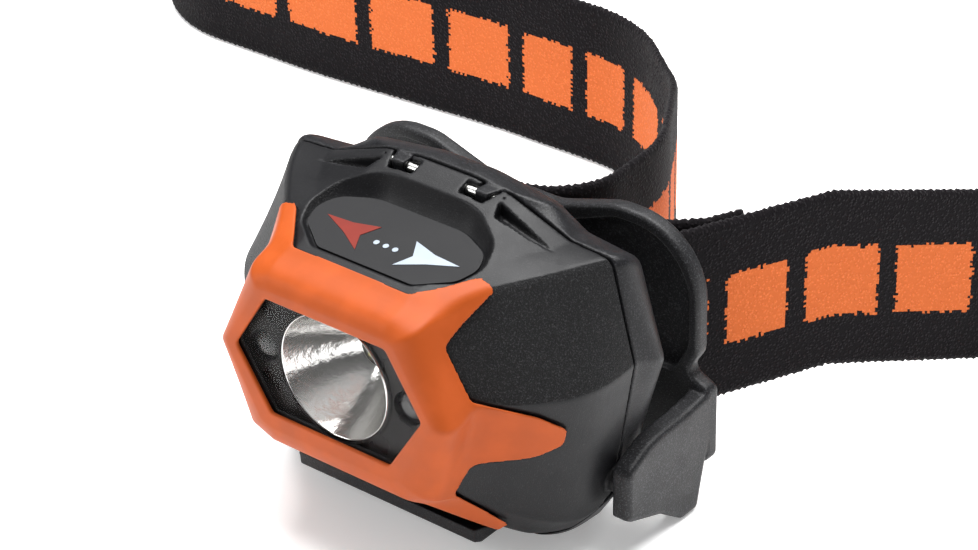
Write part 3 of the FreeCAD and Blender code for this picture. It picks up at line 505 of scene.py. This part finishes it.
def lathe(name, profile, x, slot_name, around=48):
    """A piece of the lamp head turned about an axis along Y, from a profile of (radius, y)."""
    vertices, faces = [], []
    for r, y in profile:
        for j in range(around):
            turn = 2 * math.pi * j / around
            vertices.append(((x + r * math.cos(turn)) * MM, y * MM, r * math.sin(turn) * MM))
    for k in range(len(profile) - 1):
        for j in range(around):
            a, b = k * around + j, k * around + (j + 1) % around
            faces.append((a, b, b + around, a + around))
    mesh = mesh_from(name, vertices, faces, [MATERIALS[slot_name].material])
    return new_piece(name, mesh, "lamp_head", [])


def lamp_cup(side):
    """The cup and die seen inside a clear 5 mm lamp."""
    name = "lamp_cup_right" if side > 0 else "lamp_cup_left"
    profile = [(0.05, 5.6), (0.25, 5.6), (0.3, 5.85), (0.45, 5.85), (1.15, 5.1), (1.35, 5.1),
               (1.3, 5.6), (0.9, 6.8), (0.3, 7.6), (0.05, 7.6)]
    return lathe(name, profile, side * LAMP_X, "spring_steel")


softened("bezel", "lamp_head", "bezel_orange", BEZEL_VOXEL, BEZEL_SMOOTHING)
softened("front_shell", "lamp_head", "shell_plastic")
softened("battery_cover", "battery_cover", "cover_plastic")
softened("bracket", "root", "bracket_plastic", BRACKET_VOXEL)
webbing_strap()
orange_peel_reflector()
lamp_cup(1)
lamp_cup(-1)
lathe("mouth_ring", MOUTH_RING, 0.0, "mask_black", 96)


# ---------------------------------------------------------------- camera, floor and lights
FLOOR_Z = -30 * MM
CAMERA_TARGET = Vector((0.0293, 0.0, 0.02795))
AZIMUTH, ELEVATION, ROLL, DISTANCE = 39.36, 31.14, -1.15, 0.42
LENS_MM = 119.8


def camera():
    a, e = math.radians(AZIMUTH), math.radians(ELEVATION)
    back = Vector((math.sin(a) * math.cos(e), -math.cos(a) * math.cos(e), math.sin(e)))
    data = bpy.data.cameras.new("camera")
    data.lens, data.sensor_width = LENS_MM, 36.0
    data.clip_start, data.clip_end = 0.02, 10.0
    made = bpy.data.objects.new("camera", data)
    bpy.context.scene.collection.objects.link(made)
    made.rotation_mode = "QUATERNION"
    look = (-back).to_track_quat("-Z", "Y").to_matrix()
    turn = Matrix.Rotation(math.radians(ROLL), 3, "Z")
    made.matrix_world = Matrix.Translation(CAMERA_TARGET + back * DISTANCE) @ (look @ turn).to_4x4()
    bpy.context.scene.camera = made


def floor():
    bpy.ops.mesh.primitive_plane_add(size=6.0, location=(0, 0, FLOOR_Z - 0.0002))
    made = bpy.context.object
    made.name = "floor"
    pale = Shader("floor_pale", (0.92, 0.92, 0.92), 0.9)
    pale.set("Emission Color", (1, 1, 1, 1))
    pale.set("Emission Strength", 0.3)
    made.data.materials.append(pale.material)


def softbox(name, place, target, size, power):
    data = bpy.data.lights.new(name, "AREA")
    data.shape, data.size, data.size_y = "RECTANGLE", size[0], size[1]
    data.energy = power
    made = bpy.data.objects.new(name, data)
    bpy.context.scene.collection.objects.link(made)
    made.location = place
    made.rotation_mode = "QUATERNION"
    made.rotation_quaternion = (Vector(target) - Vector(place)).to_track_quat("-Z", "Y")


def studio():
    """Light from above that fades to a dim horizon, and two softboxes."""
    world = bpy.data.worlds.new("studio")
    world.use_nodes = True
    nodes, links = world.node_tree.nodes, world.node_tree.links
    ramp = nodes.new("ShaderNodeValToRGB")
    split = nodes.new("ShaderNodeSeparateXYZ")
    links.new(nodes.new("ShaderNodeTexCoord").outputs["Generated"], split.inputs[0])
    links.new(split.outputs["Z"], ramp.inputs["Fac"])
    links.new(ramp.outputs["Color"], nodes["Background"].inputs["Color"])
    low, high = ramp.color_ramp.elements
    low.position, low.color = 0.1, (0.1, 0.1, 0.1, 1)
    high.position, high.color = 0.9, (1, 1, 1, 1)
    middle = ramp.color_ramp.elements.new(0.55)
    middle.color = (0.25, 0.25, 0.25, 1)
    nodes["Background"].inputs["Strength"].default_value = 0.75
    bpy.context.scene.world = world
    softbox("top", (-0.05, 0.2, 0.75), (0, 0.02, 0), (0.8, 0.6), 17.0)
    softbox("left_front", (-0.6, -0.55, 0.4), (0, 0, 0), (0.35, 0.35), 2.5)
    bpy.context.scene.view_settings.view_transform = "Standard"


camera()
floor()
studio()
